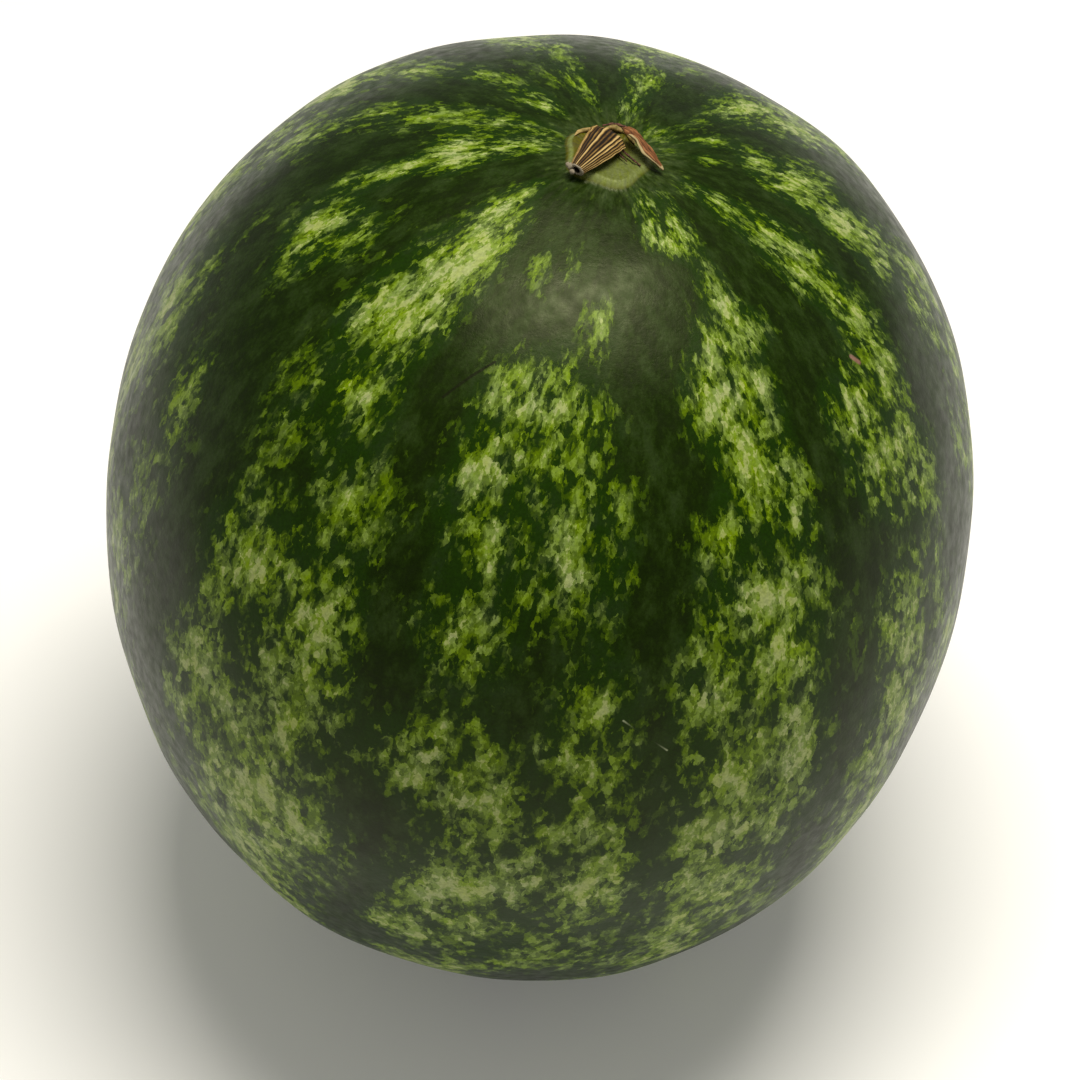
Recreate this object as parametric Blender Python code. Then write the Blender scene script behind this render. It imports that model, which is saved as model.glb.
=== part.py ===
# A whole round watermelon with its dried stem, resting on a small flat spot with the stem end up.
# Metres, +Z up. The origin is on the ground, under the middle of the fruit.
import math

import bmesh
import bpy
from mathutils import Matrix, Vector

# Fruit, in its own frame: +Z points out of the stem end, the middle is at the origin.
FRUIT_RADIUS = 0.110  # at the middle of its length
FRUIT_HALF_LENGTH = 1.122 * FRUIT_RADIUS
STEM_END_FULLNESS = 0.05  # how much fuller the stem end is than the middle, as a share
LEAN = math.radians(8.6)  # the axis leans towards +X
FLAT_DEPTH = 0.0035  # height lost where the fruit has settled flat

# Low swellings that put the fruit a little out of round: (waves around, share of the radius).
EVEN_SWELLS = ((1, -0.008), (2, -0.028), (3, -0.002), (4, -0.006))  # the same at both ends
ENDWISE_SWELLS = ((1, -0.013), (3, 0.005))  # opposite at the two ends

# Stem end: a shallow dish in the rind with a low five-sided collar in it, where the stem grows.
DISH_RADIUS = 0.022
DISH_DEPTH = 0.0012
COLLAR_MIDDLE = Vector((-0.0026, -0.0018))
COLLAR_RADIUS = 0.0096
COLLAR_HEIGHT = 0.0012
COLLAR_EDGE = 0.0014  # half the width of its sloping edge
COLLAR_SIDES = 5
COLLAR_POINTEDNESS = 0.07
COLLAR_TURN = math.radians(19.0)  # of one point, from -Y towards +X

# How finely the fruit is faceted.
AROUND = 56
ALONG = 40
CROWDING = 1.5  # rings crowd towards the stem end, where the shape is finest

# Stem: it rises at the back of the collar, folds over and ends in a hollow cut.
STEM_RIBS = 14
STEM_RIB_DEPTH = 0.08  # share of the radius
STEM_AROUND = 56
STEM_STEPS = 16
STEM_PATH = (  # where it runs, over the collar
    Vector((-0.0020, 0.0036, 0.0000)),
    Vector((-0.0020, 0.0036, 0.0021)),
    Vector((-0.0028, 0.0016, 0.0035)),
    Vector((-0.0056, -0.0034, 0.0030)),
    Vector((-0.0100, -0.0106, 0.0016)),
)
STEM_WIDTHS = (0.0038, 0.0040, 0.0044, 0.0037, 0.0019)  # half its width at each point
STEM_HEIGHTS = (0.0032, 0.0026, 0.0019, 0.0018, 0.0017)  # half its thickness there
STEM_HOLLOW_RADIUS = 0.0009
STEM_HOLLOW_DEPTH = 0.0020

# Flap: a strip of dried skin that has peeled off the stem and leans down to the rind beside it.
FLAP_AROUND = 12
FLAP_STEPS = 14
FLAP_PATH = (
    Vector((0.0020, 0.0024, 0.0040)),
    Vector((0.0041, 0.0003, 0.0037)),
    Vector((0.0072, -0.0026, 0.0023)),
    Vector((0.0104, -0.0052, 0.0000)),
)
FLAP_WIDTHS = (0.0010, 0.0015, 0.0016, 0.0009)
FLAP_HEIGHTS = (0.0006, 0.0008, 0.0008, 0.0005)

SECTION_REFERENCE = Vector((0.3, 0.3, 1.0))  # sections along the paths are turned by it

GAP = 0.0003  # kept between neighbours that touch


def clear_scene():
    for obj in list(bpy.data.objects):
        bpy.data.objects.remove(obj)


def make_collection(name):
    collection = bpy.data.collections.new(name)
    bpy.context.scene.collection.children.link(collection)
    return collection


def make_material(name, color, roughness):
    material = bpy.data.materials.new(name)
    material.use_nodes = True
    shader = material.node_tree.nodes["Principled BSDF"]
    shader.inputs["Base Color"].default_value = (*color, 1.0)
    shader.inputs["Roughness"].default_value = roughness
    shader.inputs["Metallic"].default_value = 0.0
    return material


def make_object(name, mesh, collection, material, parent):
    obj = bpy.data.objects.new(name, mesh)
    obj.parent = parent
    mesh.materials.append(material)
    collection.objects.link(obj)
    return obj


def smooth_step(value, low, high):
    share = min(1.0, max(0.0, (value - low) / (high - low)))
    return share * share * (3.0 - 2.0 * share)


def collar_edge_radius(around):
    """The collar is a rounded pentagon, one point of it near -Y."""
    wave = math.cos(COLLAR_SIDES * (around + math.pi / 2 - COLLAR_TURN))
    return COLLAR_RADIUS * (1.0 + COLLAR_POINTEDNESS * wave)


def stem_end_relief(x, y):
    """Height of the rind over its plain curve, near the stem: down in the dish, up on the collar."""
    dish = -DISH_DEPTH * (1.0 - smooth_step(math.hypot(x, y), 0.0, DISH_RADIUS))
    from_middle = Vector((x, y)) - COLLAR_MIDDLE
    edge = collar_edge_radius(math.atan2(from_middle.y, from_middle.x))
    on_collar = 1.0 - smooth_step(from_middle.length, edge - COLLAR_EDGE, edge + COLLAR_EDGE)
    return dish + COLLAR_HEIGHT * on_collar


def fruit_point(tilt, around):
    """A point of the rind: tilt is measured from the stem end, around is about the axis from +X."""
    even = sum(share * math.cos(waves * around) for waves, share in EVEN_SWELLS)
    endwise = sum(share * math.cos(waves * around) for waves, share in ENDWISE_SWELLS)
    swell = 1.0 + math.sin(tilt) ** 2 * (even + endwise * math.cos(tilt))
    fullness = 1.0 + STEM_END_FULLNESS * math.cos(tilt)
    from_axis = FRUIT_RADIUS * math.sin(tilt) * fullness * swell
    x = from_axis * math.cos(around)
    y = from_axis * math.sin(around)
    height = FRUIT_HALF_LENGTH * math.cos(tilt)
    if tilt < math.pi / 2:
        height += stem_end_relief(x, y)
    return Vector((x, y, height))


def make_melon_mesh():
    """A sphere whose points are moved to the fruit's surface, with its rings crowded at the stem end."""
    form = bmesh.new()
    bmesh.ops.create_uvsphere(form, u_segments=AROUND, v_segments=ALONG, radius=1.0)
    for vert in form.verts:
        share = math.acos(max(-1.0, min(1.0, vert.co.z))) / math.pi
        vert.co = fruit_point(math.pi * share**CROWDING, math.atan2(vert.co.y, vert.co.x))
    mesh = bpy.data.meshes.new("melon")
    form.to_mesh(mesh)
    form.free()
    mesh.shade_smooth()
    return mesh


def set_down(axis, mesh):
    """Stands the leaning fruit on the ground, sunk by its flat, with its middle over the origin."""
    lean = Matrix.Rotation(LEAN, 3, "Y")
    reach = [lean @ vert.co for vert in mesh.vertices]
    lows = [min(point[side] for point in reach) for side in range(3)]
    highs = [max(point[side] for point in reach) for side in range(3)]
    axis.rotation_euler = (0.0, LEAN, 0.0)
    axis.location = (-(lows[0] + highs[0]) / 2, -(lows[1] + highs[1]) / 2, -lows[2] - FLAT_DEPTH)


def cut_flat(melon, cutters):
    """Takes off what lies below the ground, which leaves the flat spot that the fruit rests on."""
    side = 4 * FRUIT_RADIUS
    bpy.ops.mesh.primitive_cube_add(size=side, location=(0.0, 0.0, -side / 2))
    cutter = bpy.context.object
    cutter.name = "ground_cutter"
    cutter.hide_render = True
    cutter.display_type = "WIRE"
    for collection in cutter.users_collection:
        collection.objects.unlink(cutter)
    cutters.objects.link(cutter)
    flat = melon.modifiers.new("flat_spot", "BOOLEAN")
    flat.operation = "DIFFERENCE"
    flat.solver = "EXACT"
    flat.object = cutter


def stretch(values, share):
    """The stretch of a list of numbers or points that a share of the way along it falls in."""
    place = share * (len(values) - 1)
    index = min(int(place), len(values) - 2)
    start, end = values[index], values[index + 1]
    start_slope = (end - values[max(index - 1, 0)]) * 0.5
    end_slope = (values[min(index + 2, len(values) - 1)] - start) * 0.5
    return place - index, start, end, start_slope, end_slope


def along(values, share):
    """A smooth value at a share of the way along a list."""
    t, start, end, start_slope, end_slope = stretch(values, share)
    ends = start * (2 * t**3 - 3 * t**2 + 1) + end * (3 * t**2 - 2 * t**3)
    return ends + start_slope * (t**3 - 2 * t**2 + t) + end_slope * (t**3 - t**2)


def section_frame(path, share):
    """A point of the path, the way across it there, the way up from it and the way ahead."""
    t, start, end, start_slope, end_slope = stretch(path, share)
    ahead = (end - start) * (6 * t - 6 * t**2)
    ahead += start_slope * (3 * t**2 - 4 * t + 1) + end_slope * (3 * t**2 - 2 * t)
    ahead.normalize()
    across = ahead.cross(SECTION_REFERENCE).normalized()
    return along(path, share), across, across.cross(ahead), ahead


def loft_mesh(name, sections):
    """Skins closed sections of equal count, and closes both ends."""
    form = bmesh.new()
    rings = [[form.verts.new(point) for point in section] for section in sections]
    count = len(rings[0])
    for ring, following in zip(rings, rings[1:]):
        for i in range(count):
            j = (i + 1) % count
            form.faces.new((ring[i], ring[j], following[j], following[i]))
    form.faces.new(rings[0])
    form.faces.new(rings[-1])
    bmesh.ops.recalc_face_normals(form, faces=form.faces)
    mesh = bpy.data.meshes.new(name)
    form.to_mesh(mesh)
    form.free()
    mesh.shade_smooth()
    return mesh


def stem_sections(foot_height):
    """Ribbed ovals along the stem, then a round hollow going back into its cut end."""
    angles = [2 * math.pi * i / STEM_AROUND for i in range(STEM_AROUND)]
    foot = Vector((0.0, 0.0, foot_height))
    sections = []
    for step in range(STEM_STEPS + 1):
        share = step / STEM_STEPS
        middle, across, up, _ = section_frame(STEM_PATH, share)
        width = along(STEM_WIDTHS, share)
        height = along(STEM_HEIGHTS, share)
        ribbed = [1.0 + STEM_RIB_DEPTH * math.cos(STEM_RIBS * angle) for angle in angles]
        sections.append(
            [
                foot + middle + rib * (across * width * math.cos(angle) + up * height * math.sin(angle))
                for rib, angle in zip(ribbed, angles)
            ]
        )
    middle, across, up, ahead = section_frame(STEM_PATH, 1.0)
    for back in (0.0, STEM_HOLLOW_DEPTH):
        centre = foot + middle - ahead * back
        sections.append(
            [
                centre + STEM_HOLLOW_RADIUS * (across * math.cos(angle) + up * math.sin(angle))
                for angle in angles
            ]
        )
    return sections


def flap_sections(foot_height):
    """A strip with a raised middle, thin at both edges."""
    foot = Vector((0.0, 0.0, foot_height))
    sections = []
    for step in range(FLAP_STEPS + 1):
        share = step / FLAP_STEPS
        middle, across, up, _ = section_frame(FLAP_PATH, share)
        width = along(FLAP_WIDTHS, share)
        height = along(FLAP_HEIGHTS, share)
        section = []
        for i in range(FLAP_AROUND):
            angle = 2 * math.pi * i / FLAP_AROUND
            fold = 0.5 * abs(math.cos(angle))  # both edges hang below the middle
            section.append(
                foot
                + middle
                + across * width * math.cos(angle)
                + up * height * (math.sin(angle) - fold)
            )
        sections.append(section)
    return sections


def main():
    clear_scene()
    parts = make_collection("watermelon")
    cutters = make_collection("cutters")
    rind = make_material("rind", (0.045, 0.11, 0.02), 0.4)
    dry_stem = make_material("dry_stem", (0.42, 0.30, 0.11), 0.75)
    dry_skin = make_material("dry_skin", (0.25, 0.11, 0.04), 0.8)

    axis = bpy.data.objects.new("fruit_axis", None)
    parts.objects.link(axis)
    melon_mesh = make_melon_mesh()
    set_down(axis, melon_mesh)
    melon = make_object("melon", melon_mesh, parts, rind, axis)
    cut_flat(melon, cutters)

    foot_height = fruit_point(0.0, 0.0).z + GAP
    stem_mesh = loft_mesh("stem", stem_sections(foot_height))
    make_object("stem", stem_mesh, parts, dry_stem, axis)
    flap_mesh = loft_mesh("stem_flap", flap_sections(foot_height))
    make_object("stem_flap", flap_mesh, parts, dry_skin, axis)


main()
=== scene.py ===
import math

import bmesh
import bpy
import numpy as np
from mathutils import Matrix, Vector


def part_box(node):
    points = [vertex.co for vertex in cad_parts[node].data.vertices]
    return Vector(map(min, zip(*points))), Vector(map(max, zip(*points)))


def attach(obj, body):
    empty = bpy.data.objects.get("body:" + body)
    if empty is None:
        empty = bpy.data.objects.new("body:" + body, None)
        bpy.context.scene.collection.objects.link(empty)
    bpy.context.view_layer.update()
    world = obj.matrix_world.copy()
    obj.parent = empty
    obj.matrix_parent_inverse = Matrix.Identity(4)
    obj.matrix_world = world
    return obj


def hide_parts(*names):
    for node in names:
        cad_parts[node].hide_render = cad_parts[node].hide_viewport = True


# A whole striped watermelon with its dried stem, on a pale studio floor.
# Places on the rind are given the way a grower would: "around" in degrees from the front,
# positive to the right, and "down" in degrees from the stem end.

mm = 0.001

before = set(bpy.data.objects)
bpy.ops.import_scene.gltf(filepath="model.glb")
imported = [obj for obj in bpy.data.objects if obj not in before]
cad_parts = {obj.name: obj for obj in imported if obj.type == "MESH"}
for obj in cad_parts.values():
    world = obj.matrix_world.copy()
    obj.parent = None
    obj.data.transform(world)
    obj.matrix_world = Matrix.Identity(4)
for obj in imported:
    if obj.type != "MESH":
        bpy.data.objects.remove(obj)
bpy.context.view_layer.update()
melonLow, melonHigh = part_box("melon")
print("frame loaded:", sorted(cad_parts))


def hexColour(code):
    # sRGB hex to the linear numbers that the shader works in
    channels = [int(code[i:i + 2], 16) / 255 for i in (1, 3, 5)]
    linear = [c / 12.92 if c <= 0.04045 else ((c + 0.055) / 1.055) ** 2.4 for c in channels]
    return (*linear, 1.0)


def smoothStep(value, low, high):
    share = np.clip((value - low) / (high - low), 0.0, 1.0)
    return share * share * (3.0 - 2.0 * share)


def addNode(tree, kind, settings=None, links=None, out=0):
    # one node with its own settings, and its inputs by name or number: a value or another node's socket
    node = tree.nodes.new(kind)
    for name, value in (settings or {}).items():
        setattr(node, name, value)
    for name, value in (links or {}).items():
        if isinstance(value, bpy.types.NodeSocket):
            tree.links.new(value, node.inputs[name])
        else:
            node.inputs[name].default_value = value
    return node.outputs[out]


def layColours(tree, colour, layers):
    # each layer covers the last where its source rises from low to high
    for source, low, high, shade in layers:
        share = addNode(tree, "ShaderNodeMapRange", {"interpolation_type": "SMOOTHSTEP"},
                        {0: source, 1: low, 2: high})
        colour = addNode(tree, "ShaderNodeMix", {"data_type": "RGBA"},
                         {0: share, 6: colour, 7: hexColour(shade)}, 2)
    return colour


def newMaterial(name):
    material = bpy.data.materials.new(name)
    material.use_nodes = True
    return material, material.node_tree, material.node_tree.nodes["Principled BSDF"]


def setAttribute(mesh, name, values):
    kind = "FLOAT_VECTOR" if values.ndim == 2 else "FLOAT"
    field = "vector" if values.ndim == 2 else "value"
    mesh.attributes.new(name, kind, "POINT").data.foreach_set(field, values.astype(np.float32).ravel())


def newObject(name, data):
    piece = bpy.data.objects.new(name, data)
    bpy.context.scene.collection.objects.link(piece)
    return piece


fruit = {
    "leanDegrees": 8.6,            # the axis leans to the right
    "lengthToWidth": 1.122,
    "stemEndFullness": 0.05,
    "swells": ((1, -0.008), (2, -0.028), (3, -0.002), (4, -0.006)),  # waves around, share of the radius
    "endwiseSwells": ((1, -0.013), (3, 0.005)),                      # the same, opposite at the two ends
    "flatDepth": 3.5 * mm,
    "flatSoftness": 1.6 * mm,      # how gently the rind bends into the flat spot
    "lumpHeight": 0.30 * mm,
    "lumpSpacing": (26 * mm, 60 * mm),
    "lumps": 26,
    "sectors": 400,
    "rings": 236,
    "ringCrowding": 0.28,          # 1 would space the rings evenly, less crowds them at the stem
    "seed": 7,
}

collar = {
    "dishRadius": 22 * mm,
    "dishDepth": 1.2 * mm,
    "middle": (-2.6 * mm, -1.8 * mm),
    "radius": 9.6 * mm,
    "height": 1.2 * mm,
    "edge": 1.4 * mm,
    "sides": 5,
    "pointedness": 0.07,
    "turnDegrees": 19.0,           # of one point, from the front to the right
    "ridges": 46,                  # fine creases that run out from the collar
    "ridgeHeight": 0.05 * mm,
    "rimWidth": 0.8 * mm,
    "rimHeight": 0.35 * mm,
    "haloReach": 31 * mm,          # how far the greyer skin runs out from the collar
}


def rindForm(down, around):
    # the plain rind in its own frame, stem end up, in units of its radius; angles in radians
    turn = around - math.pi / 2
    even = sum(share * np.cos(waves * turn) for waves, share in fruit["swells"])
    endwise = sum(share * np.cos(waves * turn) for waves, share in fruit["endwiseSwells"])
    swell = 1 + np.sin(down) ** 2 * (even + endwise * np.cos(down))
    fromAxis = np.sin(down) * (1 + fruit["stemEndFullness"] * np.cos(down)) * swell
    height = fruit["lengthToWidth"] * np.cos(down)
    return np.stack([fromAxis * np.sin(around), -fromAxis * np.cos(around), height + 0 * around], -1)


def fitFruit():
    # the radius and the middle of the fruit, from the CAD melon's box
    down, around = np.meshgrid(np.linspace(0, math.pi, 181), np.linspace(-math.pi, math.pi, 361))
    points = rindForm(down, around).reshape(-1, 3) @ np.array(leanMatrix).T
    low, high = points.min(0), points.max(0)
    radius = (melonHigh.x - melonLow.x) / (high[0] - low[0])
    middle = Vector((
        (melonLow.x + melonHigh.x) / 2 - radius * (low[0] + high[0]) / 2,
        (melonLow.y + melonHigh.y) / 2 - radius * (low[1] + high[1]) / 2,
        melonLow.z - radius * low[2] - fruit["flatDepth"],
    ))
    return radius, middle


leanMatrix = Matrix.Rotation(math.radians(fruit["leanDegrees"]), 3, "Y")
fruitRadius, fruitMiddle = fitFruit()
print(f"fruit radius {fruitRadius / mm:.1f} mm, middle {tuple(round(v / mm, 1) for v in fruitMiddle)}")


def toWorld(points):
    return points @ np.array(leanMatrix).T + np.array(fruitMiddle)


def fromCollar(x, y):
    # how far a place is from the collar's middle, and how far the collar's edge is in that direction
    dx, dy = x - collar["middle"][0], y - collar["middle"][1]
    angle = np.arctan2(dy, dx)
    point = math.radians(collar["turnDegrees"]) - math.pi / 2
    wave = np.cos(collar["sides"] * (angle - point))  # a rounded pentagon
    return np.hypot(dx, dy), collar["radius"] * (1 + collar["pointedness"] * wave), angle


def stemEndRelief(x, y):
    dish = -collar["dishDepth"] * (1 - smoothStep(np.hypot(x, y), 0.0, collar["dishRadius"]))
    reach, edge, angle = fromCollar(x, y)
    onCollar = 1 - smoothStep(reach, edge - collar["edge"], edge + collar["edge"])
    # fine creases run out over the edge of the collar and fade within a finger's width
    crease = np.cos(collar["ridges"] * angle + 3 * np.sin(5 * angle)) + 0.5 * np.cos(23 * angle + 1.0)
    fade = smoothStep(reach, 5 * mm, 9 * mm) * (1 - smoothStep(reach, 12 * mm, 24 * mm))
    rim = np.exp(-((reach - edge + collar["edge"]) / collar["rimWidth"]) ** 2)
    relief = dish + collar["height"] * onCollar + collar["ridgeHeight"] * crease * fade
    return relief + collar["rimHeight"] * rim


def rindHeight(x, y):
    # height of the rind in the fruit's own frame, close to the stem
    down = np.arcsin(np.hypot(x, y) / (fruitRadius * (1 + fruit["stemEndFullness"])))
    return fruitRadius * fruit["lengthToWidth"] * np.cos(down) + stemEndRelief(x, y)


def lumpField(points):
    # low swellings, as a sum of waves in chance directions
    random = np.random.default_rng(fruit["seed"])
    total = np.zeros(len(points))
    for _ in range(fruit["lumps"]):
        direction = random.normal(size=3)
        direction /= np.linalg.norm(direction)
        spacing = random.uniform(*fruit["lumpSpacing"])
        total += np.cos(points @ direction * (2 * math.pi / spacing) + random.uniform(0, 2 * math.pi))
    return total / math.sqrt(fruit["lumps"])


# Each stripe is a chain of mottled patches: (around, down, half its width, half its length, strength).
# Strength is how much of the patch is light; near 1 it also turns creamy.
stripes = {
    "farLeftTop": ((-163, 12, 5, 4, .55), (-165, 24, 5, 7, .55), (-152, 18, 4, 6, .35)),
    "leftTop": ((-134, 12, 6, 3, .7), (-138, 21, 4, 6, .6), (-135, 33, 5, 6, .6)),
    "leftBack": ((-107, 8, 8, 2, .5), (-111, 13, 6, 3, .5), (-112, 22, 6, 7, .6), (-116, 32, 3, 4, .4),
                 (-113, 43, 6, 6, .7), (-119, 50, 4, 4, .5)),
    "left": ((-92, 10, 7, 3, .75), (-91, 14, 6, 2, .6), (-93, 18, 7, 3, 1.), (-87, 19, 5, 2, .9),
             (-89, 25, 3, 5, .95), (-91, 32, 2, 2, .5), (-91, 46, 2, 5, .25), (-90, 62, 7, 7, .75),
             (-93, 74, 6, 6, .9), (-89, 68, 4, 5, .75)),
    "leftFront": ((-81, 36, 5, 4, .85), (-73, 33, 4, 4, .65), (-77, 41, 3, 3, .55), (-73, 60, 3, 4, .6),
                  (-70, 65, 4, 3, .35), (-70, 75, 5, 6, .55), (-74, 85, 6, 6, .6), (-74, 95, 5, 5, .75)),
    "frontLeftTop": ((-56, 12, 4, 1.5, .8), (-54, 16, 6, 3, .95), (-46, 18, 5, 3, .8), (-52, 21, 5, 4, .9),
                     (-45, 23, 5, 4, 1.), (-50, 27, 8, 4, 1.), (-43, 30, 4, 4, .8), (-52, 34, 6, 5, 1.),
                     (-47, 34, 4, 3, .95), (-44, 42, 5, 5, .8), (-39, 33, 2, 2, .4), (-56, 48, 4, 4, .4),
                     (-50, 54, 4, 5, .4), (-36, 54, 5, 5, .6), (-39, 46, 2, 2, .3)),
    "frontLeftLow": ((-45, 66, 7, 5, .85), (-36, 67, 5, 4, .9), (-32, 64, 3, 4, .6), (-49, 75, 3, 6, .6),
                     (-36, 75, 5, 6, .8), (-32, 78, 5, 6, .7), (-48, 84, 6, 5, .65), (-43, 86, 6, 4, .5),
                     (-35, 85, 5, 5, .65), (-50, 92, 5, 4, .6), (-36, 96, 8, 6, 1.), (-44, 98, 6, 5, .85),
                     (-31, 98, 4, 5, .65), (-33, 106, 5, 4, .7), (-42, 108, 8, 6, .85),
                      (-37, 115, 7, 4, .65)),
    "middleLeft": ((-27, 19, 3, 2, .5), (-24, 21, 3, 2, .4), (-16, 18, 3, 2, .5), (-3, 25, 3, 3, .6),
                   (-8, 24, 3, 1.5, .3), (-18, 34, 6, 4, .75), (-11, 31, 4, 3, .65), (-7, 35, 6, 3, .7),
                   (-17, 43, 6, 5, .85), (-10, 41, 3, 4, .5), (-16, 51, 6, 4, .6), (-14, 62, 5, 5, .7),
                   (-19, 61, 3, 3, .3), (-13, 74, 6, 3, .55), (-20, 77, 3, 2, .5), (-15, 80, 6, 4, .8),
                   (-8, 83, 4, 5, .8), (-10, 88, 4, 3, .6), (-8, 97, 6, 5, 1.), (-2, 94, 4, 5, .8),
                   (-14, 100, 4, 4, .55), (-6, 106, 5, 5, .8), (-14, 110, 5, 4, .9), (-6, 118, 5, 5, .7)),
    "middleRight": ((-3, 39, 4, 4, .35), (-3, 46, 4, 4, .55), (-2, 52, 5, 5, .75), (4, 46, 3, 5, .4),
                    (4, 57, 2, 4, .3), (3, 67, 4, 4, .75), (5, 76, 4, 4, .8), (0, 74, 2, 3, .5),
                    (4, 85, 5, 3, .7), (8, 90, 3, 3, .7), (7, 96, 4, 6, .95), (1, 85, 2, 2, .5),
                    (4, 113, 6, 6, .45), (10, 108, 3, 6, .4)),
    "rightTop": ((22, 8, 8, 1.5, .9), (21, 12, 7, 2, .85), (25, 14, 5, 2, .8), (34, 13, 5, 3, .85),
                 (41, 9, 4, 2, .6), (34, 22, 4, 4, .95), (36, 27, 6, 2, .9), (30, 27, 3, 2, .6),
                 (25, 29, 3, 4, .8), (25, 34, 5, 4, .9), (19, 33, 3, 4, .5), (33, 34, 4, 5, .8),
                 (27, 42, 4, 5, .95), (35, 45, 3, 5, .5), (32, 49, 3, 3, .45), (20, 49, 4, 4, .55)),
    "rightLow": ((27, 57, 5, 5, 1.), (35, 57, 3, 5, .4), (19, 62, 4, 5, .6), (28, 65, 5, 5, 1.),
                 (18, 68, 4, 3, .7), (23, 77, 6, 5, .9), (31, 76, 4, 6, .95), (20, 86, 4, 6, .85),
                 (28, 86, 6, 5, .75), (21, 94, 4, 5, .8), (25, 98, 6, 5, .95), (22, 106, 5, 6, .9),
                 (28, 105, 4, 4, .6), (33, 110, 4, 3, .5), (34, 105, 2, 2, .4), (41, 66, 2, 5, .3)),
    "right": ((64, 9, 8, 1.5, .5), (66, 14, 6, 3, .85), (68, 20, 6, 3, .95), (68, 25, 6, 3, 1.),
              (62, 24, 3, 4, .5), (68, 31, 4, 4, .8), (67, 36, 5, 3, .85), (65, 42, 4, 3, .8),
              (48, 41, 2, 3, .7), (54, 42, 5, 4, .85), (53, 49, 5, 4, .85), (60, 50, 5, 4, .85),
              (63, 56, 5, 4, .6), (56, 54, 4, 3, .5), (62, 63, 3, 5, .35)),
    "rightFront": ((53, 66, 5, 4, .8), (48, 68, 2, 4, .5), (52, 73, 4, 5, 1.), (49, 80, 4, 5, .95),
                   (54, 83, 5, 4, .8), (47, 87, 5, 4, .8), (43, 90, 3, 2, .6), (61, 70, 2, 5, .4)),
    "rightBack": ((98, 11, 4, 1.5, .7), (103, 18, 7, 2, .85), (95, 22, 5, 3, .95), (92, 29, 5, 5, 1.),
                  (103, 24, 4, 4, .75), (107, 27, 4, 3, .6), (90, 36, 5, 3, .95), (97, 36, 3, 3, .6),
                  (88, 46, 4, 5, .8), (97, 46, 5, 6, .85), (93, 56, 5, 5, .6), (79, 61, 4, 5, .6),
                  (66, 82, 5, 6, .8), (104, 6, 8, 1.5, .6), (115, 12, 5, 3, .6)),
    "backRight": ((132, 6, 12, 1.5, .95), (131, 12, 4, 3, .5), (135, 24, 7, 5, .9), (127, 31, 6, 6, .85),
                  (136, 33, 5, 5, .8)),
    "back": ((170, 8, 8, 3, .6), (167, 17, 6, 6, .65), (174, 24, 4, 6, .55), (156, 26, 3, 6, .4)),
}

# Stripes that go on round the back and below: (around at the top, around at the bottom, first down).
hiddenStripes = (
    (-163, -156, 34), (-134, -130, 44), (-113, -106, 58), (-92, -84, 84), (-73, -66, 104),
    (-42, -38, 122), (-9, -12, 126), (24, 20, 116), (50, 48, 98), (92, 84, 66),
    (131, 122, 40), (168, 162, 34),
)
hiddenStripeStyle = {
    "step": 6.5,                   # degrees down from one patch to the next
    "turnDown": 30,                # degrees down where a stripe starts to turn aside
    "lastDown": 164,
    "halfWidth": (3.5, 6.5),
    "halfLength": (3.5, 6.5),
    "strength": (0.45, 1.0),
    "sway": (1.0, 5.0),            # degrees to either side
    "shift": 2,                    # degrees up or down
    "gapChance": 0.16,
    "seed": 23,
}


def hiddenPatches():
    style = hiddenStripeStyle
    random = np.random.default_rng(style["seed"])
    patches = []
    for topAround, lowAround, firstDown in hiddenStripes:
        down = firstDown
        while down < style["lastDown"]:
            share = (down - style["turnDown"]) / (style["lastDown"] - style["turnDown"])
            middle = topAround + (lowAround - topAround) * share
            for side in (-1, 1):
                patch = (
                    middle + side * random.uniform(*style["sway"]),
                    down + random.uniform(-style["shift"], style["shift"]),
                    random.uniform(*style["halfWidth"]),
                    random.uniform(*style["halfLength"]),
                    random.uniform(*style["strength"]),
                )
                if random.random() > style["gapChance"]:
                    patches.append(patch)
            down += style["step"]
    return patches


stripeReach = {
    "lightFrom": 0.10,             # shares of a patch's half width where its light mottles fade out
    "lightTo": 1.55,
    "greenFrom": 0.8,              # and where the full green beside it does
    "greenTo": 2.5,
    "closing": 0.30,               # less than 1 draws the mottles out into streaks at both ends
}


def patchField(patches, around, down, inner, outer):
    # how strongly each spot of the rind lies in any of the patches
    clear = np.ones_like(around)
    for middle, middleDown, halfWidth, halfLength, strength in patches:
        across = (around - middle + 180) % 360 - 180
        far = np.hypot(across / halfWidth, (down - middleDown) / halfLength)
        clear *= 1 - strength * (1 - smoothStep(far, inner, outer))
    return 1 - clear


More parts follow.
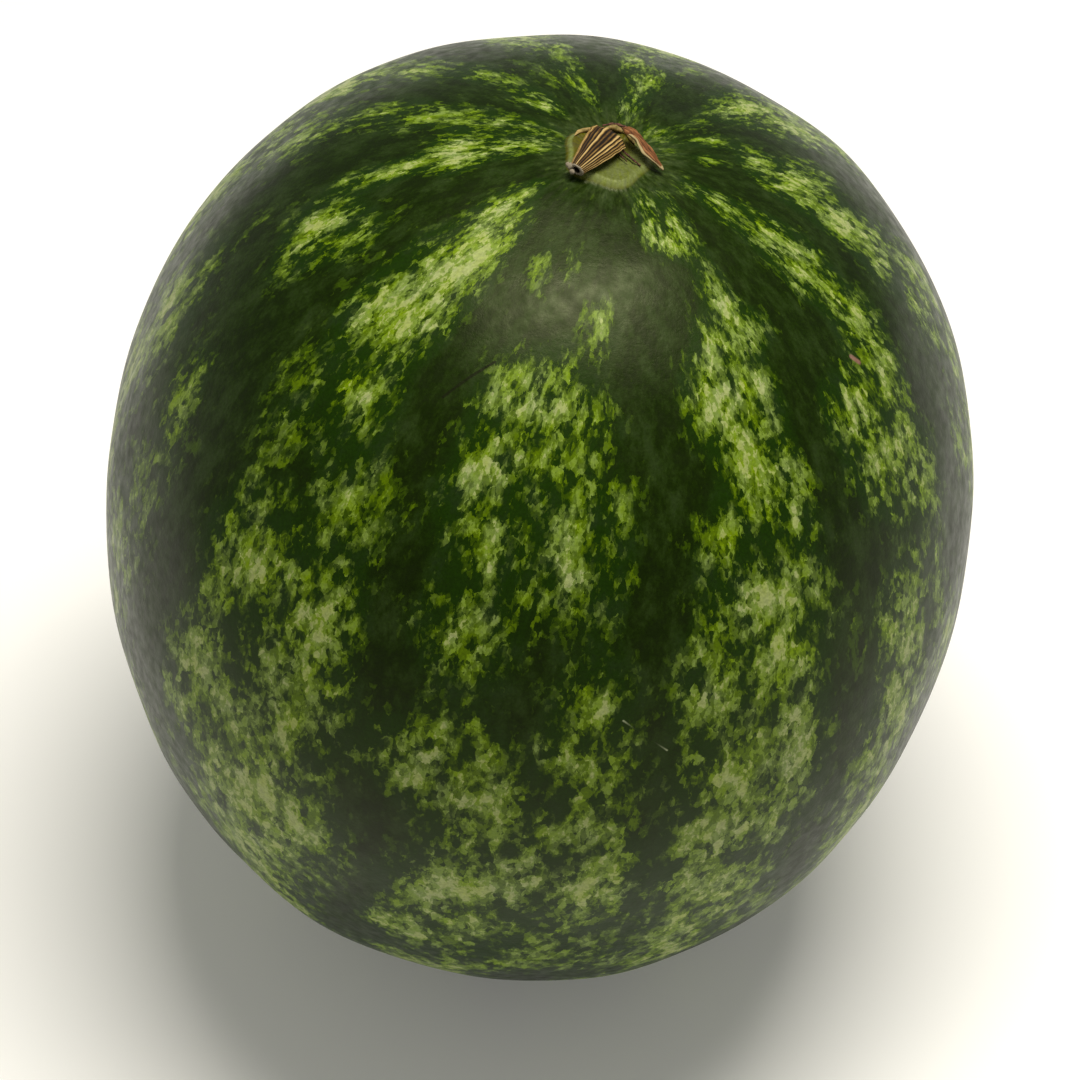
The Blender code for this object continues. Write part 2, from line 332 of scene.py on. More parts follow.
def makeMelon():
    form = bmesh.new()
    bmesh.ops.create_uvsphere(form, u_segments=fruit["sectors"], v_segments=fruit["rings"], radius=1)
    mesh = bpy.data.meshes.new("melonRind")
    form.to_mesh(mesh)
    form.free()
    ball = np.empty(len(mesh.vertices) * 3, np.float32)
    mesh.vertices.foreach_get("co", ball)
    ball = ball.reshape(-1, 3).astype(float)

    share = np.arccos(np.clip(ball[:, 2], -1, 1)) / math.pi
    down = math.pi * (fruit["ringCrowding"] * share + (1 - fruit["ringCrowding"]) * share**2)
    around = np.arctan2(ball[:, 0], -ball[:, 1])
    points = rindForm(down, around) * fruitRadius
    top = down < math.pi / 2
    points[:, 2] += np.where(top, stemEndRelief(points[:, 0], points[:, 1]), 0)
    outward = points / np.linalg.norm(points, axis=1)[:, None]
    fromAxis = np.hypot(points[:, 0], points[:, 1])
    calm = smoothStep(fromAxis, 14 * mm, 34 * mm)
    points += outward * (fruit["lumpHeight"] * lumpField(points) * calm)[:, None]

    world = toWorld(points)
    soft = fruit["flatSoftness"]
    world[:, 2] = (world[:, 2] + np.sqrt(world[:, 2] ** 2 + soft**2)) / 2
    world[:, 2] -= world[:, 2].min()
    mesh.vertices.foreach_set("co", world.astype(np.float32).ravel())
    mesh.update()

    # a place for the pattern that closes up towards both ends and runs along the rind
    steps = np.linspace(0, math.pi, 721)
    profile = rindForm(steps, np.zeros(721)) * fruitRadius
    lengths = np.concatenate([[0], np.cumsum(np.linalg.norm(np.diff(profile, axis=0), axis=1))])
    girth = fruitRadius * np.maximum(np.sin(down), 0.01) ** stripeReach["closing"]
    along = np.interp(down, steps, lengths)
    wrapped = np.stack([girth * np.sin(around), -girth * np.cos(around), along], -1)

    patches = [patch for stripe in stripes.values() for patch in stripe] + hiddenPatches()
    place = (patches, np.degrees(around), np.degrees(down))
    setAttribute(mesh, "wrapped", wrapped)
    setAttribute(mesh, "fruitPlace", points)
    setAttribute(mesh, "stripe", patchField(*place, stripeReach["lightFrom"], stripeReach["lightTo"]))
    setAttribute(mesh, "nearStripe", patchField(*place, stripeReach["greenFrom"], stripeReach["greenTo"]))

    # the collar's face, its rim, its near side, and the greyer skin round it
    reach, edge, angle = fromCollar(points[:, 0], points[:, 1])
    edgeLine = (reach - edge + 0.4 * collar["edge"]) / collar["rimWidth"]
    nearSide = smoothStep(points[:, 0] - 1.3 * points[:, 1], -4 * mm, 8 * mm)
    setAttribute(mesh, "collarFace", top * (1 - smoothStep(reach, edge - 0.3 * mm, edge + 1.2 * mm)))
    setAttribute(mesh, "collarRim", top * np.exp(-edgeLine**2))
    setAttribute(mesh, "collarNear", nearSide)
    setAttribute(mesh, "halo", top * (1 - smoothStep(fromAxis, 9 * mm, collar["haloReach"])))
    setAttribute(mesh, "blossomEnd", (1 - top) * (1 - smoothStep(fromAxis, 2.0 * mm, 26 * mm)))
    print("melon meshed:", len(mesh.vertices), "points,", len(patches), "stripe patches")
    return newObject("melonRind", mesh)


rindLook = {
    "band": "#0d1b00",             # the darkest bands between stripes
    "bandGreen": "#1d3003",        # where the bands are a little lighter
    "deepGreen": "#122900",        # full green that lies close to the light mottles
    "levels": (                    # each lighter colour covers the last where the pattern is stronger
        (0.10, 0.22, "#2c4005"),   # full green
        (0.28, 0.37, "#4b6015"),   # olive green
        (0.51, 0.59, "#697f2e"),   # yellow-green
        (0.77, 0.88, "#8d985b"),   # cream
    ),
    "stripeWeight": 0.75,
    "noises": {                    # spacing in mm, detail, roughness and weight in the pattern
        "broad": (13, 2.0, 0.5, 0.75),
        "fine": (4.4, 5.0, 0.56, 1.95),
    },
    "cells": {                     # grains that the mottles are made of: spacing in mm and weight
        "clumps": (2.4, 0.56),
        "specks": (1.2, 0.46),
    },
    "shake": (1.6, 2.2),           # spacing and reach in mm of what breaks up the grains' edges
    "streaks": 4.0,                # spacing in mm of the streaks and dashes round the collar
    "dashes": 2.5,                 # strength of the dashes
    "dashFloor": 0.56,             # no dash where the streaks are weaker than this
    "drift": 7,                    # spacing in mm of the slow change in the green
    "grain": 0.7,                  # of the fine skin grain
    "wax": 3,                      # of the patches with more or less wax
    "waxRange": 0.08,              # what the wax adds to the roughness or takes off it
    "relief": 1.5,                 # of the small unevenness of the skin
    "reliefHeight": 0.12,
    "quietBands": 0.20,            # share of the pattern's strength that is left between stripes
    "stretch": 0.62,               # the pattern is drawn out along the fruit as it grows
    "collarOlive": "#4a4815",
    "collarGreen": "#5a6230",
    "collarRim": "#6b7441",
    "haloGrey": "#36441f",
    "blossomBrown": "#4c4020",
    "roughness": 0.37,
    "ior": 1.40,
    "specular": 0.19,
    "glossTint": "#f9ffcb",        # wax over green skin reflects a little less blue
}

# Small marks on the rind, as lines between two places:
# around, down, around, down, half width in mm, colour.
rindMarks = {
    "paleScratch": (7.0, 69.0, 13.0, 73.0, 0.30, "#a9b18c"),
    "darkScratchTop": (-25.0, 32.0, -28.0, 34.5, 0.35, "#0d1403"),
    "darkScratchLow": (-28.0, 34.5, -31.0, 38.0, 0.35, "#0d1403"),
    "brownFleck": (59.6, 36.8, 60.4, 38.0, 0.55, "#7a5a4c"),
}


def makeRindMaterial():
    # Waxed plant skin: dark green with broken light stripes, a low gloss that blurs the lights.
    look = rindLook
    material, tree, shader = newMaterial("waxyMelonRind")
    read = {
        name: addNode(tree, "ShaderNodeAttribute", {"attribute_name": name}, out=2)
        for name in ("stripe", "nearStripe", "collarFace", "collarRim", "collarNear", "halo", "blossomEnd")
    }
    wrapped, place = (
        addNode(tree, "ShaderNodeAttribute", {"attribute_name": name}, out=1)
        for name in ("wrapped", "fruitPlace")
    )
    grown = addNode(tree, "ShaderNodeMapping", None, {"Vector": wrapped, "Scale": (1, 1, look["stretch"])})
    shakeSpacing, shakeReach = look["shake"]
    shake = addNode(tree, "ShaderNodeTexNoise", None,
                    {"Vector": grown, "Scale": 1 / (shakeSpacing * mm), "Detail": 3, "Roughness": 0.6}, 1)
    shaken = addNode(tree, "ShaderNodeVectorMath", {"operation": "MULTIPLY_ADD"},
                     {0: shake, 1: (shakeReach * mm,) * 3, 2: grown})

    # the mottle: noises and chance-valued grains, added up about zero
    mottle = -0.5 * sum(values[-1] for kind in ("noises", "cells") for values in look[kind].values())
    for spacing, detail, roughness, weight in look["noises"].values():
        noise = addNode(tree, "ShaderNodeTexNoise", None, {
            "Vector": grown, "Scale": 1 / (spacing * mm), "Detail": detail, "Roughness": roughness,
        })
        mottle = addNode(tree, "ShaderNodeMath", {"operation": "MULTIPLY_ADD"},
                         {0: noise, 1: weight, 2: mottle})
    for spacing, weight in look["cells"].values():
        chance = addNode(tree, "ShaderNodeTexVoronoi", None,
                         {"Vector": shaken, "Scale": 1 / (spacing * mm)}, 1)
        value = addNode(tree, "ShaderNodeSeparateColor", None, {0: chance})
        mottle = addNode(tree, "ShaderNodeMath", {"operation": "MULTIPLY_ADD"},
                         {0: value, 1: weight, 2: mottle})
    loudness = addNode(tree, "ShaderNodeMapRange", None,
                       {0: read["nearStripe"], 1: 0.05, 2: 0.85, 3: look["quietBands"], 4: 1.0})
    field = addNode(tree, "ShaderNodeMath", {"operation": "MULTIPLY"}, {0: mottle, 1: loudness})
    field = addNode(tree, "ShaderNodeMath", {"operation": "MULTIPLY_ADD"},
                    {0: read["stripe"], 1: look["stripeWeight"], 2: field})
    # pale dashes run out from the collar between the stripes
    streak = addNode(tree, "ShaderNodeTexNoise", None, {
        "Vector": wrapped, "Scale": 1 / (look["streaks"] * mm), "Detail": 4, "Roughness": 0.6,
    })
    dash = addNode(tree, "ShaderNodeMath", {"operation": "MULTIPLY_ADD"},
                   {0: streak, 1: look["dashes"], 2: -look["dashFloor"] * look["dashes"]})
    field = addNode(tree, "ShaderNodeMath", {"operation": "MULTIPLY_ADD"},
                    {0: dash, 1: read["halo"], 2: field})

    drift = addNode(tree, "ShaderNodeTexNoise", None,
                    {"Vector": grown, "Scale": 1 / (look["drift"] * mm), "Detail": 6, "Roughness": 0.72})
    green = addNode(tree, "ShaderNodeMath", {"operation": "ADD"}, {0: drift, 1: read["nearStripe"]})
    bandColours = ((drift, 0.40, 0.66, look["bandGreen"]), (green, 0.75, 1.35, look["deepGreen"]))
    colour = layColours(tree, hexColour(look["band"]), bandColours)
    colour = layColours(tree, colour, [(field, *level) for level in look["levels"]])

    # greyer skin with fine streaks close to the collar
    greyed = addNode(tree, "ShaderNodeMath", {"operation": "MULTIPLY"}, {0: read["halo"], 1: streak})
    nearness = addNode(tree, "ShaderNodeMath", {"operation": "MULTIPLY"},
                       {0: read["collarFace"], 1: read["collarNear"]})
    blossom = addNode(tree, "ShaderNodeMath", {"operation": "MULTIPLY"},
                      {0: read["blossomEnd"], 1: streak})
    colour = layColours(tree, colour, (
        (greyed, 0.22, 0.80, look["haloGrey"]),
        (blossom, 0.46, 0.60, look["blossomBrown"]),
        (read["collarFace"], 0.15, 0.85, look["collarOlive"]),
        (nearness, 0.10, 0.95, look["collarGreen"]),
        (read["collarRim"], 0.35, 1.0, look["collarRim"]),
    ))

    for fromAround, fromDown, toAround, toDown, halfWidth, shade in rindMarks.values():
        start, end = (
            rindForm(np.radians(down), np.radians(around)) * fruitRadius
            for around, down in ((fromAround, fromDown), (toAround, toDown))
        )
        line = end - start
        offset = addNode(tree, "ShaderNodeVectorMath", {"operation": "SUBTRACT"},
                         {0: place, 1: tuple(start)})
        reach = addNode(tree, "ShaderNodeVectorMath", {"operation": "DOT_PRODUCT"},
                        {0: offset, 1: tuple(line / (line @ line))}, 1)
        held = addNode(tree, "ShaderNodeClamp", None, {0: reach})
        nearest = addNode(tree, "ShaderNodeVectorMath", {"operation": "SCALE"}, {0: tuple(line), 3: held})
        gap = addNode(tree, "ShaderNodeVectorMath", {"operation": "DISTANCE"}, {0: offset, 1: nearest}, 1)
        colour = layColours(tree, colour, ((gap, 1.5 * halfWidth * mm, 0.5 * halfWidth * mm, shade),))

    # a fine grain lightens and darkens everything a little, and some of the skin is yellower
    grain = addNode(tree, "ShaderNodeTexNoise", None,
                    {"Vector": place, "Scale": 1 / (look["grain"] * mm), "Detail": 3, "Roughness": 0.6})
    lightness = addNode(tree, "ShaderNodeMapRange", None, {0: grain, 1: 0.3, 2: 0.7, 3: 0.78, 4: 1.22})
    richness = addNode(tree, "ShaderNodeMapRange", None, {0: drift, 1: 0.35, 2: 0.65, 3: 1.16, 4: 0.84})
    grained = addNode(tree, "ShaderNodeHueSaturation", None,
                      {"Saturation": richness, "Value": lightness, "Color": colour})
    tree.links.new(grained, shader.inputs["Base Color"])

    shader.inputs["IOR"].default_value = look["ior"]
    shader.inputs["Specular IOR Level"].default_value = look["specular"]
    shader.inputs["Specular Tint"].default_value = hexColour(look["glossTint"])
    wax = addNode(tree, "ShaderNodeTexNoise", None,
                  {"Vector": place, "Scale": 1 / (look["wax"] * mm), "Detail": 5})
    gloss = addNode(tree, "ShaderNodeMapRange", None, {
        0: wax, 1: 0.3, 2: 0.7,
        3: look["roughness"] - look["waxRange"], 4: look["roughness"] + look["waxRange"],
    })
    tree.links.new(gloss, shader.inputs["Roughness"])
    relief = addNode(tree, "ShaderNodeTexNoise", None,
                     {"Vector": place, "Scale": 1 / (look["relief"] * mm), "Detail": 4, "Roughness": 0.65})
    bump = addNode(tree, "ShaderNodeBump", None,
                   {"Strength": 0.5, "Distance": look["reliefHeight"] * mm, "Height": relief})
    tree.links.new(bump, shader.inputs["Normal"])
    return material


# Paths of the dry pieces are in mm, from the middle of the stem end: right, back, up.
stem = {
    "path": ((-2.2, 2.0, -0.6), (-2.2, 2.0, 1.0), (-2.9, 0.8, 2.3),
             (-5.6, -3.9, 2.7), (-10.1, -10.6, 1.6)),
    "halfWidths": (3.9, 3.9, 4.5, 3.8, 1.8),
    "halfHeights": (1.8, 1.8, 1.7, 1.7, 1.5),
    "ribs": 25,
    "ribDepth": 0.15,              # share of the radius
    "ribSway": 0.10,               # the ribs wander by this many of their own widths
    "around": 240,
    "steps": 110,
    "hollowRadius": 0.95,
    "hollow": ((1.30, -0.10), (1.0, 0.0), (0.92, 0.5), (0.75, 1.4), (0.35, 2.0)),  # share of it, mm back
    "knots": ((-11.6, -9.6, 1.7, 0.75), (-12.0, -8.6, 1.2, 0.6), (-10.9, -10.5, 0.9, 0.65)),  # and radius
    "seed": 11,
}
lip = {
    "turns": (32, 148),            # degrees around the collar, from its right side over the back
    "outside": 0.1,                # mm beyond the collar's edge
    "halfWidth": 0.75,
    "halfHeight": 0.80,
    "steps": 70,
    "around": 14,
}
flap = {
    "path": ((0.6, 3.6, 3.5), (2.6, 2.2, 4.0), (4.4, 0.2, 3.6), (7.2, -2.6, 2.2), (10.5, -5.3, -0.1)),
    "halfWidths": (0.9, 1.5, 1.7, 1.6, 0.7),
    "halfHeights": (0.5, 0.55, 0.6, 0.55, 0.35),
    "steps": 90,
    "around": 48,
    "wrinkles": 5,
}
fibres = {
    "paths": {                     # each path and its radius
        "long": (((-0.4, 0.6, 1.2), (1.2, -1.4, 0.8), (3.4, -3.6, 0.5), (5.2, -5.0, 0.2)), 0.26),
        "middle": (((-0.8, 0.0, 1.0), (0.2, -2.2, 0.6), (2.0, -4.4, 0.4)), 0.20),
        "back": (((-3.8, 6.6, 1.0), (-1.2, 7.4, 1.2), (1.2, 6.4, 1.6), (2.6, 4.6, 2.4)), 0.34),
    },
    "steps": 40,
    "around": 10,
}
footHeight = fruitRadius * fruit["lengthToWidth"] + collar["height"] - collar["dishDepth"] + 0.3 * mm


def smoothPath(values, share):
    # a smooth curve through the values, at each share of the way along it
    values = np.array(values, float)
    place = share * (len(values) - 1)
    index = np.minimum(place.astype(int), len(values) - 2)
    t = place - index
    if values.ndim == 2:
        t = t[:, None]
    start, end = values[index], values[index + 1]
    startSlope = (end - values[np.maximum(index - 1, 0)]) / 2
    endSlope = (values[np.minimum(index + 2, len(values) - 1)] - start) / 2
    ends = start * (2 * t**3 - 3 * t**2 + 1) + end * (3 * t**2 - 2 * t**3)
    return ends + startSlope * (t**3 - 2 * t**2 + t) + endSlope * (t**3 - t**2)


def sweepFrame(path, share):
    # points of the path in metres, with the way across it, up from it and ahead
    middle = smoothPath(path, share) * mm
    ahead = np.gradient(middle, axis=0)
    ahead /= np.linalg.norm(ahead, axis=1)[:, None]
    across = np.cross(ahead, (0.3, 0.3, 1.0))
    across /= np.linalg.norm(across, axis=1)[:, None]
    return middle + (0, 0, footHeight), across, np.cross(across, ahead), ahead


def meshFromRings(name, grids, attributes):
    # skins each stack of closed rings and closes its ends, with the values that its points carry
    points, faces = [], []
    for rings in grids:
        first = sum(len(group) for group in points)
        steps, around = rings.shape[:2]
        number = first + np.arange(steps * around).reshape(steps, around)
        following = np.roll(number, -1, axis=1)
        quads = np.stack([number[:-1], following[:-1], following[1:], number[1:]], -1)
        faces += quads.reshape(-1, 4).tolist()
        faces += [number[0, ::-1].tolist(), number[-1].tolist()]
        points.append(rings.reshape(-1, 3))
    mesh = bpy.data.meshes.new(name)
    mesh.from_pydata(toWorld(np.concatenate(points)).tolist(), [], faces)
    form = bmesh.new()
    form.from_mesh(mesh)
    bmesh.ops.recalc_face_normals(form, faces=form.faces)
    form.to_mesh(mesh)
    form.free()
    for label, values in attributes.items():
        setAttribute(mesh, label, values)
    return newObject(name, mesh)


def makeStem():
    random = np.random.default_rng(stem["seed"])
    share = np.linspace(0, 1, stem["steps"])
    middle, across, up, ahead = sweepFrame(stem["path"], share)
    width = smoothPath(stem["halfWidths"], share)[:, None] * mm
    height = smoothPath(stem["halfHeights"], share)[:, None] * mm
    angle = np.linspace(0, 2 * math.pi, stem["around"], endpoint=False)[None]
    along = share[:, None]
    sway = stem["ribSway"] * (np.sin(5 * along + 1) + 0.6 * np.sin(3 * angle + 9 * along))
    turn = stem["ribs"] * angle / (2 * math.pi) + sway
    ribAndLight = np.abs(np.cos(math.pi * turn)) ** 1.3
    ribHeight = random.uniform(0.55, 1.25, stem["ribs"])[np.round(turn).astype(int) % stem["ribs"]]
    # the ribs are strong where the stem bends over, and shallow at the foot and the cut end
    depth = stem["ribDepth"] * smoothStep(along, 0.1, 0.35) * (1 - 0.5 * smoothStep(along, 0.85, 1.0))
    rough = 0.03 * np.sin(31 * along + 4 * angle) * np.sin(17 * along - 3 * angle + 2)
    bulge = 1 + depth * (ribAndLight * ribHeight - 0.6) + rough
    rings = middle[:, None] + bulge[..., None] * (
        across[:, None] * (width * np.cos(angle))[..., None]
        + up[:, None] * (height * np.sin(angle))[..., None]
    )
    # the cut face, then the hollow that runs back into it
    end = middle[-1]
    inward = []
    for radius, back in stem["hollow"]:
        circle = across[-1] * np.cos(angle.T) + up[-1] * np.sin(angle.T)
        inward.append(end + circle * stem["hollowRadius"] * radius * mm - ahead[-1] * back * mm)
    rings = np.concatenate([rings, np.array(inward)])
    # the knuckle over the foot is duller than the ribs that fan out below it
    bright = 0.45 + 0.55 * smoothStep(along, 0.26, 0.44)
    # the rib profile also paints the colour: pale crests as a painted highlight, dark grooves as painted
    # shade
    ridges = np.concatenate([ribAndLight * ribHeight * bright, np.full((len(inward), stem["around"]), 0.3)])
    cut = np.zeros_like(ridges)
    cut[stem["steps"] - 2:stem["steps"] + 2] = 1
    # painted shade inside the hollow of the cut end and along the underside of the stem
    paintedShade = np.zeros_like(ridges)
    paintedShade[stem["steps"] + 2:] = 1
    paintedShade[:stem["steps"]] = smoothStep(-np.sin(angle), 0.2, 0.8) * smoothStep(along, 0.15, 0.3)
    foot = np.zeros_like(ridges)
    foot[:stem["steps"]] = (1 - smoothStep(along, 0.15, 0.45)) * np.ones_like(angle)
    lengthways = np.zeros((*ridges.shape, 3))
    lengthways[..., 0] = 3.5 * mm * np.cos(angle)
    lengthways[..., 1] = 3.5 * mm * np.sin(angle)
    lengthways[:stem["steps"], :, 2] = 4 * mm * along
    lengthways[stem["steps"]:, :, 2] = 4 * mm

    grids = [rings]
    values = {"ribAndLight": [ridges.ravel()], "cutFace": [cut.ravel()], "shaded": [paintedShade.ravel()],
              "stemFoot": [foot.ravel()], "stemPlace": [lengthways.reshape(-1, 3)]}
    # pale knots where the cut end has crumbled
    latitudes = np.linspace(0.12, math.pi - 0.12, 14)[:, None]
    longitudes = np.linspace(0, 2 * math.pi, 20, endpoint=False)[None]
    for x, y, z, radius in stem["knots"]:
        lumpy = 1 + 0.18 * np.sin(3 * longitudes + x) * np.sin(2 * latitudes + y)
        ball = np.stack([np.sin(latitudes) * np.cos(longitudes), np.sin(latitudes) * np.sin(longitudes),
                         np.cos(latitudes) + 0 * longitudes], -1) * lumpy[..., None] * radius * mm
        grids.append(ball + (x * mm, y * mm, z * mm + footHeight))
        count = ball.shape[0] * ball.shape[1]
        values["ribAndLight"].append(np.full(count, 0.8))
        values["cutFace"].append(np.full(count, 0.9))
        values["shaded"].append(np.zeros(count))
        values["stemFoot"].append(np.zeros(count))
        values["stemPlace"].append(ball.reshape(-1, 3))
    joined = {name: np.concatenate(parts) for name, parts in values.items()}
    return meshFromRings("driedStem", grids, joined)


def makeCollarLip():
    # a dry torn edge, left standing round the back of the collar where the stem's skin joined it
    share = np.linspace(0, 1, lip["steps"])
    turn = np.radians(lip["turns"][0] + (lip["turns"][1] - lip["turns"][0]) * share)
    direction = np.stack([np.cos(turn), np.sin(turn)], -1)
    collarMiddle = np.array(collar["middle"])
    edge = fromCollar(*(collarMiddle + direction * 5 * mm).T)[1]
    wander = lip["outside"] + 0.35 * np.sin(9 * share) + 0.15 * np.sin(31 * share)
    places = collarMiddle + direction * (edge - collar["edge"] + wander * mm)[:, None]
    taper = np.sin(math.pi * share) ** 0.45
    angle = np.linspace(0, 2 * math.pi, lip["around"], endpoint=False)[None]
    width = (lip["halfWidth"] * taper * (1 + 0.25 * np.sin(23 * share)))[:, None] * mm
    height = (lip["halfHeight"] * taper * (1 + 0.3 * np.sin(17 * share + 1)))[:, None] * mm
    flat = places[:, None] + direction[:, None] * (width * np.cos(angle))[..., None]
    level = rindHeight(*places.T)[:, None] + 0.3 * height + height * np.sin(angle)
    rings = np.concatenate([flat, level[..., None]], -1)
    count = rings.shape[0] * rings.shape[1]
    # painted light and shade: the top of the lip is paler and its underside darker
    ribAndLight = 0.35 + 0.65 * smoothStep(np.sin(angle) + 0 * width, -0.2, 0.9)
    return meshFromRings("collarLip", [rings], {
        "ribAndLight": ribAndLight.ravel(), "cutFace": np.zeros(count), "shaded": np.zeros(count),
        "stemFoot": np.full(count, 0.35), "stemPlace": rings.reshape(-1, 3),
    })


def makeFlap():
    share = np.linspace(0, 1, flap["steps"])
    middle, across, up = sweepFrame(flap["path"], share)[:3]
    ends = np.minimum(1, 0.25 + 6 * share) * np.sqrt(np.clip((1.02 - share) * 12, 0.03, 1))
    width = (smoothPath(flap["halfWidths"], share) * ends)[:, None] * mm
    height = (smoothPath(flap["halfHeights"], share) * ends)[:, None] * mm
    angle = np.linspace(0, 2 * math.pi, flap["around"], endpoint=False)[None]
    side = np.cos(angle) * np.ones_like(width)
    # lengthwise wrinkles, and an edge that waves up and down
    wrinkle = np.sin(flap["wrinkles"] * math.pi * side + 5 * share[:, None])
    wrinkle += 0.6 * np.sin(23 * share[:, None] + 5 * side)
    wave = 0.35 * mm * side**2 * np.sin(13 * share[:, None] + 2 * side) - 0.5 * height * side**2
    upward = height * np.sin(angle) * (1 + 0.28 * wrinkle) + wave
    ragged = 1 + 0.10 * np.sin(19 * share[:, None] + side) + 0.05 * np.sin(47 * share[:, None])
    outline = width * side * ragged
    rings = middle[:, None] + across[:, None] * outline[..., None] + up[:, None] * upward[..., None]
    lengthways = np.stack(
        [side * 2 * mm, np.sin(angle) * mm + 0 * side, 3 * mm * share[:, None] + 0 * side], -1
    )
    # the skin is pale where it has split along one edge, and at its tip
    pale = smoothStep(side, 0.72, 0.98) * smoothStep(share, 0.2, 0.4)[:, None]
    pale = np.maximum(pale, smoothStep(share, 0.89, 0.97)[:, None])
    return meshFromRings("peeledSkin", [rings], {
        "paleEdge": pale.ravel(), "fold": wrinkle.ravel(), "stemPlace": lengthways.reshape(-1, 3),
    })


def makeFibres():
    grids, places = [], []
    share = np.linspace(0, 1, fibres["steps"])
    angle = np.linspace(0, 2 * math.pi, fibres["around"], endpoint=False)[None]
    for path, radius in fibres["paths"].values():
        middle, across, up = sweepFrame(path, share)[:3]
        taper = np.sin(math.pi * (0.06 + 0.88 * share)) ** 0.5
        thick = (radius * taper * (1 + 0.2 * np.sin(29 * share)))[:, None] * mm
        rings = middle[:, None] + across[:, None] * (thick * np.cos(angle))[..., None]
        rings = rings + up[:, None] * (thick * np.sin(angle))[..., None]
        grids.append(rings)
        places.append(rings.reshape(-1, 3))
    return meshFromRings("dryFibres", grids, {"stemPlace": np.concatenate(places)})


dryLook = {
    "grooveShade": "#130b04",           # stem, from its grooves to the crests of its ribs: the dark grooves are painted shade and the pale crests a painted highlight over the straw and brown
    "brown": "#4a3415",
    "straw": "#7c6230",
    "crestLight": "#b09660",
    "olive": "#4d4a1c",            # where the stem is still a little green
    "cutFace": "#857c6a",
    "skin": "#633d20",             # peeled skin
    "skinDark": "#361e10",
    "skinWarm": "#8d5f3a",
    "paleEdge": "#a29269",
    "fibre": "#5c3d31",
    "fibreDark": "#2a1812",
    "grain": 0.45 * mm,            # spacing of the fine grain, and of the stains and the threads' colours
    "stain": 2.4 * mm,
    "fibreGrain": 0.9 * mm,
    "roughness": 0.78,
    "ior": 1.45,
    "specular": 0.25,
    "reliefStrength": 0.6,
}


def finishDry(tree, shader, colour, height, distance):
    # dry plant tissue scatters light: no gloss, and a fine fibrous relief
    tree.links.new(colour, shader.inputs["Base Color"])
    shader.inputs["Roughness"].default_value = dryLook["roughness"]
    shader.inputs["IOR"].default_value = dryLook["ior"]
    shader.inputs["Specular IOR Level"].default_value = dryLook["specular"]
    bump = addNode(tree, "ShaderNodeBump", None,
                   {"Strength": dryLook["reliefStrength"], "Distance": distance, "Height": height})
    tree.links.new(bump, shader.inputs["Normal"])


def makeStemMaterial():
    # Dried melon stem, straw over dark brown: bright crests of fibre with deep shaded grooves, painted in:
    # the crests are a painted highlight, and the grooves, the stem's underside and the inside of its
    # hollow are painted shade.
    look = dryLook
    material, tree, shader = newMaterial("driedMelonStem")
    place = addNode(tree, "ShaderNodeAttribute", {"attribute_name": "stemPlace"}, out=1)
    ribAndLight, cutFace, shaded, foot = (
        addNode(tree, "ShaderNodeAttribute", {"attribute_name": name}, out=2)
        for name in ("ribAndLight", "cutFace", "shaded", "stemFoot")
    )
    grain = addNode(tree, "ShaderNodeTexNoise", None,
                    {"Vector": place, "Scale": 1 / look["grain"], "Detail": 4, "Roughness": 0.65})
    stain = addNode(tree, "ShaderNodeTexNoise", None,
                    {"Vector": place, "Scale": 1 / look["stain"], "Detail": 3, "Roughness": 0.6})
    # each rib's crest takes a painted highlight and its groove painted shade, broken by the fibre grain
    crestLight = addNode(tree, "ShaderNodeMath", {"operation": "MULTIPLY_ADD"}, {0: grain, 1: 0.85, 2: ribAndLight})
    green = addNode(tree, "ShaderNodeMath", {"operation": "MULTIPLY_ADD"}, {0: stain, 1: 0.9, 2: foot})
    colour = layColours(tree, hexColour(look["grooveShade"]), (
        (crestLight, 0.72, 0.95, look["brown"]),
        (crestLight, 0.95, 1.15, look["straw"]),
        (crestLight, 1.18, 1.42, look["crestLight"]),
        (green, 0.62, 1.05, look["olive"]),
        (cutFace, 0.3, 0.8, look["cutFace"]),
        # painted shade on the stem's underside and inside the hollow of its cut end
        (shaded, 0.2, 0.9, look["grooveShade"]),
    ))
    finishDry(tree, shader, colour, grain, 0.15 * mm)
    return material


def makeSkinMaterial():
    # Peeled and dried stem skin: red-brown and wrinkled, with a pale split edge.
    look = dryLook
    material, tree, shader = newMaterial("driedStemSkin")
    place = addNode(tree, "ShaderNodeAttribute", {"attribute_name": "stemPlace"}, out=1)
    paleEdge, fold = (
        addNode(tree, "ShaderNodeAttribute", {"attribute_name": name}, out=2)
        for name in ("paleEdge", "fold")
    )
    grain = addNode(tree, "ShaderNodeTexNoise", None,
                    {"Vector": place, "Scale": 1 / look["grain"], "Detail": 4, "Roughness": 0.65})
    # painted shade and light: the colour darkens in the wrinkles' creases and warms on their crests, over
    # a random grain
    foldShadeAndTone = addNode(tree, "ShaderNodeMath", {"operation": "MULTIPLY_ADD"}, {0: fold, 1: 0.16, 2: grain})
    split = addNode(tree, "ShaderNodeMath", {"operation": "MULTIPLY_ADD"}, {0: grain, 1: 0.5, 2: paleEdge})
    colour = layColours(tree, hexColour(look["skin"]), (
        (foldShadeAndTone, 0.42, 0.28, look["skinDark"]),
        (foldShadeAndTone, 0.52, 0.72, look["skinWarm"]),
        (split, 0.60, 1.0, look["paleEdge"]),
    ))
    finishDry(tree, shader, colour, grain, 0.12 * mm)
    return material


